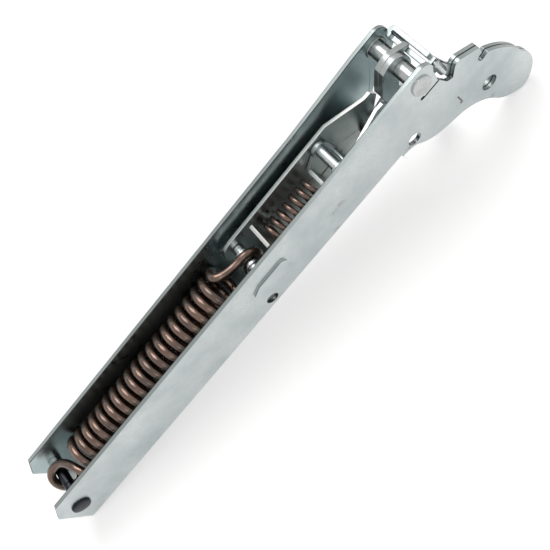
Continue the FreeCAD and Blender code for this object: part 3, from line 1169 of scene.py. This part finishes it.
@dataclass
class MainSpring:
    """Extension spring with an open loop round the tail pin and a hook over the slider's pin.

    Attributes:
        wire: The wire's diameter in millimetres.
        radius: Radius of the coil's middle line.
        pitch: Advance a turn.
        first_top: How far the first turn's top lies behind the pivot line.
        turns: Number of tops that show.
        tail_lead: Turns before the first top.
        front_lead: Turns after the last top.
        per_turn: Points a turn.
        tail: The loop at the tail.
        front: The loop at the front.
        finish: The wire's finish.
    """

    wire: float = 4.0
    radius: float = 8.9
    pitch: float = 5.13
    first_top: float = 204.0
    turns: int = 19
    tail_lead: float = 0.75
    front_lead: float = 0.93
    per_turn: int = 40
    tail: EndLoop = EndLoop("tail_pin", 2.5, 6.2, -1, lean=math.radians(40), shift=2.0)
    front: EndLoop = EndLoop("hook_spool", 2.6, 5.0, 1)
    finish: Finish = BronzedWire()

    def build(self) -> bpy.types.Object:
        """Coil the spring and hang it between the case and the slider's pin.

        Returns:
            The spring.
        """
        axis_height = middle(self.tail.node).z / MM
        start = at_pivot(-self.first_top - self.pitch * self.tail_lead, axis_height)
        turns = self.turns - 1 + self.tail_lead + self.front_lead
        line = coil(start, self.radius, self.pitch, turns, 0.5 - self.tail_lead, self.per_turn)
        rear = self.tail.line(line[0], line[0] - line[1], self.wire)
        front = self.front.line(line[-1], line[-1] - line[-2], self.wire)
        mesh = CoilWire(rear[::-1] + line + front, self.wire).mesh("main_coil")
        piece = place_piece("main_coil", mesh, self.finish, None, ("main_spring",))
        self.tail.edge()
        self.front.edge()
        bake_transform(piece)
        return piece


@dataclass
class SmallSpring:
    """Compression spring between the slider's cross tab and the shoe.

    Attributes:
        wire: The wire's diameter in millimetres.
        radius: Radius of the coil's middle line.
        axis_height: Height of the coil's axis.
        turns: Number of turns.
        per_turn: Points a turn.
        around: Corners round the wire.
        tab_back: How far the tab's face lies behind the pivot line.
        running: Gap at each end.
        finish: The wire's finish.
    """

    wire: float = 2.3
    radius: float = 4.95
    axis_height: float = 13.8
    turns: float = 7.0
    per_turn: int = 32
    around: int = 12
    tab_back: float = 81.0
    running: float = 0.05
    finish: Finish = BronzedWire()

    def build(self) -> bpy.types.Object:
        """Coil the spring between the slider and the shoe.

        Returns:
            The spring.
        """
        inset = self.wire / 2 + self.running
        shoe_face = corners("shoe_bracket")[0].x - PIVOT.x / MM
        start = at_pivot(-self.tab_back + inset, self.axis_height)
        end = at_pivot(shoe_face - inset, self.axis_height)
        pitch = (end.x - start.x) / MM / self.turns
        line = coil(start, self.radius, pitch, self.turns, 0.0, self.per_turn)
        mesh = CoilWire(line, self.wire, self.around).mesh("small_coil")
        piece = place_piece("small_coil", mesh, self.finish, None, ("small_spring",))
        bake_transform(piece)
        return piece


@dataclass
class SheetCase:
    """The folded case: a flat web between two tall walls, the near one running on into the claw.

    Attributes:
        inner_bend: Inner radius of the folds in millimetres.
        ease: Width of an eased corner.
        mark_reach: How far a mark in the near wall's face reaches out of it.
        mark_depth: How far it reaches in.
    """

    inner_bend: float = 0.6
    ease: float = 0.22
    mark_reach: float = 0.3
    mark_depth: float = 0.1

    def build(self) -> list[bpy.types.Object]:
        """Sew the folded sheet together and add the claw's second layer.

        Returns:
            The case's pieces.
        """
        tail, head = WEB_LOW.x, WEB_HIGH.x
        inner = HALF_WIDTH - SHEET - self.inner_bend
        folds = tuple(Seam(UPWARD, SHEET, (tail, low, 0.0), (head, high, SHEET))
                      for low, high in ((-HALF_WIDTH, -inner), (inner, HALF_WIDTH)))
        butt = Seam(ALONG, head, (head, -HALF_WIDTH, 0.0), (head, -inner, SHEET))
        plate = CasePlate(marks=self._marks(), scuffs=self._scuffs())
        # The claw layer's inner faces take the duller cloudy colour as their painted shade.
        claw_plate = CasePlate("claw_plate", inside=CasePlate.cloudy)
        return [
            SteelPiece("folded_case", ("case_web", "case_near_wall", "case_far_wall"), Body.CASE, plate,
                       Slot.ZINC_SHEET, self.ease, (*folds, butt)).build(),
            SteelPiece("claw_layer", ("claw_backing",), Body.CASE, claw_plate,
                       Slot.ZINC_SHEET, self.ease).build()]

    def _mark(self, low: Pair, high: Pair, soft: float = PressMark.soft) -> PressMark:
        """Return a mark on the near wall's outer face, from its corners along X and Z."""
        return PressMark((low[0], -HALF_WIDTH - self.mark_reach, low[1]),
                         (high[0], -HALF_WIDTH + self.mark_depth, high[1]), soft)

    def _marks(self) -> tuple[PressMark, ...]:
        """Return the small mark of the press on the claw, a stroke with its foot."""
        return self._mark((104.9, -6.0), (105.5, -1.6)), self._mark((104.2, -7.2), (105.4, -6.2))

    def _scuffs(self) -> tuple[PressMark, ...]:
        """Return the dirty scuffs of handling, four along the wall and one on the claw."""
        return (self._mark((42.4, 12.6), (44.6, 13.4), 1.2), self._mark((46.6, 13.0), (49.0, 14.2), 1.6),
                self._mark((36.8, 2.4), (38.6, 3.6), 1.4), self._mark((79.0, 1.0), (81.0, 1.8), 1.8),
                self._mark((112.5, -24.0), (115.0, -22.6), 1.6))


@dataclass
class MainPivot:
    """The main pin with its spacers and washers, which holds the lever in the case.

    Attributes:
        head: The pin's upset heads.
        ease: Width of an eased corner of the bushes, in millimetres.
        finish: The pin's finish.
        bush_finish: The duller finish of the drawn bushes.
    """

    head: PinHead = PinHead(2.5, 4.3, 1.1, ((0.55, 0.0), (0.86, 0.22), (1.0, 0.62)), 0.05)
    ease: float = 0.12
    finish: Finish = BrightSteel()
    bush_finish: Finish = BrightSteel("drawn_bush", (0.40, 0.415, 0.405), (0.24, 0.245, 0.235))

    def build(self) -> list[bpy.types.Object]:
        """Turn the pin and dress the bushes on it.

        Returns:
            The pivot's pieces.
        """
        pin = TurnedPiece("pivot_pin", "main_pin", Body.CASE, self.finish, Slot.PLAIN_STEEL,
                          self.head.both_ends()).build()
        bushes = [SteelPiece(f"{node}_ring", (node,), Body.CASE, self.bush_finish, Slot.PLAIN_STEEL,
                             self.ease).build()
                  for node in ("spacer_near", "spacer_far", "washer_near", "washer_far")]
        return [pin, *bushes]


@dataclass
class TailAnchor:
    """The blackened tail pin with its ring grooves, and the bush that keeps the loop off the far wall.

    Attributes:
        head: The pin's upset heads.
        grooves: Places of the grooves across the case, in millimetres.
        groove_depth: Their depth.
        groove_half: Half their width at the shaft's face.
        groove_floor: Half their width at the bottom.
        finish: The pin's finish.
    """

    head: PinHead = PinHead(2.5, 4.4, 1.2, ((0.5, 0.0), (0.85, 0.25), (1.0, 0.8)), 0.04)
    grooves: tuple[float, ...] = (-8.2, -5.4, -2.6, 5.9)
    groove_depth: float = 0.35
    groove_half: float = 0.45
    groove_floor: float = 0.2
    finish: Finish = BlackOxide()

    def build(self) -> list[bpy.types.Object]:
        """Turn the grooved pin and dress its bush.

        Returns:
            The anchor's pieces.
        """
        top, bottom = self.head.shaft, self.head.shaft - self.groove_depth
        shaft = []
        for y in self.grooves:
            shaft += [(y - self.groove_half, top), (y - self.groove_floor, bottom),
                      (y + self.groove_floor, bottom), (y + self.groove_half, top)]
        pin = TurnedPiece("anchor_pin", "tail_pin", Body.CASE, self.finish, Slot.DARK_STEEL,
                          self.head.both_ends(shaft)).build()
        bush = SteelPiece("anchor_bush", ("tail_bush",), Body.CASE, BrightSteel(), Slot.PLAIN_STEEL).build()
        return [pin, bush]


@dataclass
class SwingLever:
    """The lever of two riveted layers, which swings out of the case.

    Attributes:
        ease: Width of an eased corner of the layers, in millimetres.
        rivet_ease: The same for the rivets.
    """

    ease: float = 0.25
    rivet_ease: float = 0.1

    def build(self) -> list[bpy.types.Object]:
        """Dress the layers and their rivets.

        Returns:
            The lever's pieces.
        """
        layers = [SteelPiece(f"lever_{side}", (f"lever_plate_{side}",), Body.LEVER, ZincPlate(),
                             Slot.ZINC_SHEET, self.ease).build() for side in ("near", "far")]
        rivets = [SteelPiece(f"arm_rivet_{number}", (f"lever_rivet_{number}",), Body.LEVER, BrightSteel(),
                             Slot.PLAIN_STEEL, self.rivet_ease).build() for number in (1, 2)]
        return layers + rivets


@dataclass
class SpringSlider:
    """The inner channel that the spring pulls back, with its pins and the sleeve under the hook.

    Attributes:
        ease: Width of an eased corner of the channel, in millimetres.
        pin_ease: The same for the pins.
        sleeve_ease: The same for the sleeve.
        plate: The channel's finish.
        finish: The finish of the pins and the sleeve.
    """

    ease: float = 0.2
    pin_ease: float = 0.12
    sleeve_ease: float = 0.15
    # The channel's faces that don't face across take this cut-edge colour, partly the edges' own and partly
    # painted shade.
    plate: Finish = ZincPlate("slider_plate", cut_edge_and_shade=(0.44, 0.425, 0.39))
    finish: Finish = BrightSteel()

    def build(self) -> list[bpy.types.Object]:
        """Dress the channel, its two pins and the sleeve.

        Returns:
            The slider's pieces.
        """
        turned = (("crank_rivet", "crank_pin", Body.SLIDER, self.pin_ease),
                  ("hook_axle", "hook_pin", Body.CARRIAGE, self.pin_ease),
                  ("hook_sleeve", "hook_spool", Body.CARRIAGE, self.sleeve_ease))
        channel = SteelPiece("slider_channel", ("slider_frame",), Body.SLIDER, self.plate, Slot.ZINC_SHEET,
                             self.ease).build()
        return [channel, *(SteelPiece(name, (node,), body, self.finish, Slot.PLAIN_STEEL, ease).build()
                           for name, node, body, ease in turned)]


@dataclass
class DampingShoe:
    """The small sprung shoe that rides inside the slider, with its two pins.

    Attributes:
        ease: Width of an eased corner of the bracket, in millimetres.
        pin_ease: The same for the stepped pin.
        cross_ease: The same for the plain cross pin.
        finish: The pins' finish.
    """

    ease: float = 0.18
    pin_ease: float = 0.3
    cross_ease: float = 0.15
    finish: Finish = BrightSteel()

    def build(self) -> list[bpy.types.Object]:
        """Dress the bracket and its pins.

        Returns:
            The shoe's pieces.
        """
        bracket = SteelPiece("shoe_channel", ("shoe_bracket",), Body.SHOE, ZincPlate(), Slot.ZINC_SHEET,
                             self.ease).build()
        pins = [SteelPiece(name, (node,), Body.SHOE, self.finish, Slot.PLAIN_STEEL, ease).build()
                for name, node, ease in (("shoe_axle", "shoe_pin", self.pin_ease),
                                         ("shoe_cross_axle", "shoe_cross_pin", self.cross_ease))]
        return [bracket, *pins]


@dataclass(frozen=True)
class SoftLamp:
    """A square studio lamp that points at the frame's origin, near the hinge's middle.

    Attributes:
        name: The lamp's name.
        place: Where it stands, in metres.
        side: Length of its side.
        watts: Its power.
    """

    name: str
    place: Point
    side: float
    watts: float

    def build(self) -> bpy.types.Object:
        """Hang the lamp.

        Returns:
            The lamp.
        """
        data = bpy.data.lights.new(self.name, "AREA")
        data.shape = "SQUARE"
        data.size = self.side
        data.energy = self.watts
        lamp = bpy.data.objects.new(self.name, data)
        bpy.context.scene.collection.objects.link(lamp)
        lamp.location = self.place
        lamp.rotation_mode = "QUATERNION"
        lamp.rotation_quaternion = (-Vector(self.place)).to_track_quat("-Z", "Y")
        return lamp


@dataclass
class Studio:
    """The floor that the hinge lies on, the lamps, the white surround and the camera.

    Attributes:
        claw_tip: Where the claw touches the floor, along X in millimetres.
        floor_side: Length of the floor's side in metres.
        floor_gap: How far the floor lies below the hinge, in millimetres.
        lamps: The lamps.
        surround: Light from all round.
        eye: The camera's place in millimetres.
        right: Direction to the right in its view.
        up: Upward direction in its view.
        focal_pixels: Its focal length in pixels of the frame.
        frame_pixels: Width of the frame in pixels.
        sensor: Width of the frame on the camera's sensor, in millimetres.
        nearest: Where the view starts, in metres.
        farthest: Where it ends.
    """

    claw_tip: float = 126.3
    floor_side: float = 4.0
    floor_gap: float = 0.2
    lamps: tuple[SoftLamp, ...] = (SoftLamp("key_lamp", (0.40, 0.52, 1.10), 0.8, 7.5),
                                   SoftLamp("fill_lamp", (0.1, -0.75, 0.9), 0.5, 0.8))
    surround: float = 0.45
    eye: Point = (96.0, -173.3, 294.8)
    right: Point = (0.624, -0.579, -0.525)
    up: Point = (0.738, 0.658, 0.151)
    focal_pixels: float = 857.1
    frame_pixels: float = 550.0
    sensor: float = 36.0
    nearest: float = 0.01
    farthest: float = 20.0

    def build(self) -> None:
        """Set the stage."""
        self._floor()
        self._world()
        self._camera()
        for lamp in self.lamps:
            lamp.build()

    def _floor(self) -> None:
        """Lay the floor under the tail and the claw, the two places that the hinge rests on."""
        tail = Vector((CAD_BOX[0][0], 0.0, 0.0))
        claw = Vector((self.claw_tip * MM, 0.0, CAD_BOX[0][2]))
        along = (claw - tail).normalized()
        across = Vector((0, 1, 0))
        above = along.cross(across).normalized()
        half = self.floor_side / 2
        centre = (tail + claw) / 2 - above * self.floor_gap * MM
        mesh = bpy.data.meshes.new("floor")
        mesh.from_pydata([centre + along * half * a + across * half * b
                          for a, b in ((-1, -1), (1, -1), (1, 1), (-1, 1))], [], [(0, 1, 2, 3)])
        mesh.materials.append(PaleFloor().material())
        floor = bpy.data.objects.new("floor", mesh)
        bpy.context.scene.collection.objects.link(floor)

    def _world(self) -> None:
        """Light the surround plainly, white where the camera or a reflection sees it."""
        world = bpy.data.worlds.new("surround")
        bpy.context.scene.world = world
        world.use_nodes = True
        world.node_tree.nodes.clear()
        graph = ShaderGraph(world.node_tree)
        strength = graph.seen() * (1.0 - self.surround) + self.surround
        glow = graph.node("ShaderNodeBackground", inputs={
            "Color": (1.0, 1.0, 1.0, 1.0), "Strength": strength})
        out = world.node_tree.nodes.new("ShaderNodeOutputWorld")
        world.node_tree.links.new(glow.socket, out.inputs["Surface"])

    def _camera(self) -> None:
        """Put the camera where the photograph was taken from."""
        data = bpy.data.cameras.new("camera")
        data.sensor_width = self.sensor
        data.lens = self.focal_pixels / self.frame_pixels * self.sensor
        data.clip_start = self.nearest
        data.clip_end = self.farthest
        camera = bpy.data.objects.new("camera", data)
        bpy.context.scene.collection.objects.link(camera)
        right = Vector(self.right).normalized()
        up = (Vector(self.up) - right * right.dot(Vector(self.up))).normalized()
        turn = Matrix((right, up, right.cross(up))).transposed()
        camera.matrix_world = Matrix.Translation(Vector(self.eye) * MM) @ turn.to_4x4()
        bpy.context.scene.camera = camera


def main() -> None:
    """Build the hinge's sub-assemblies in order, then the stage around them."""
    logging.basicConfig(level=logging.INFO, format="%(name)s: %(message)s")
    for part in (SheetCase(), MainPivot(), TailAnchor(), SwingLever(), SpringSlider(), DampingShoe(),
                 MainSpring(), SmallSpring()):
        part.build()
        LOG.info("%s is built", type(part).__name__)
    Studio().build()
    bpy.context.scene.view_settings.view_transform = "Standard"
    bpy.context.view_layer.update()


if __name__ == "__main__":
    main()
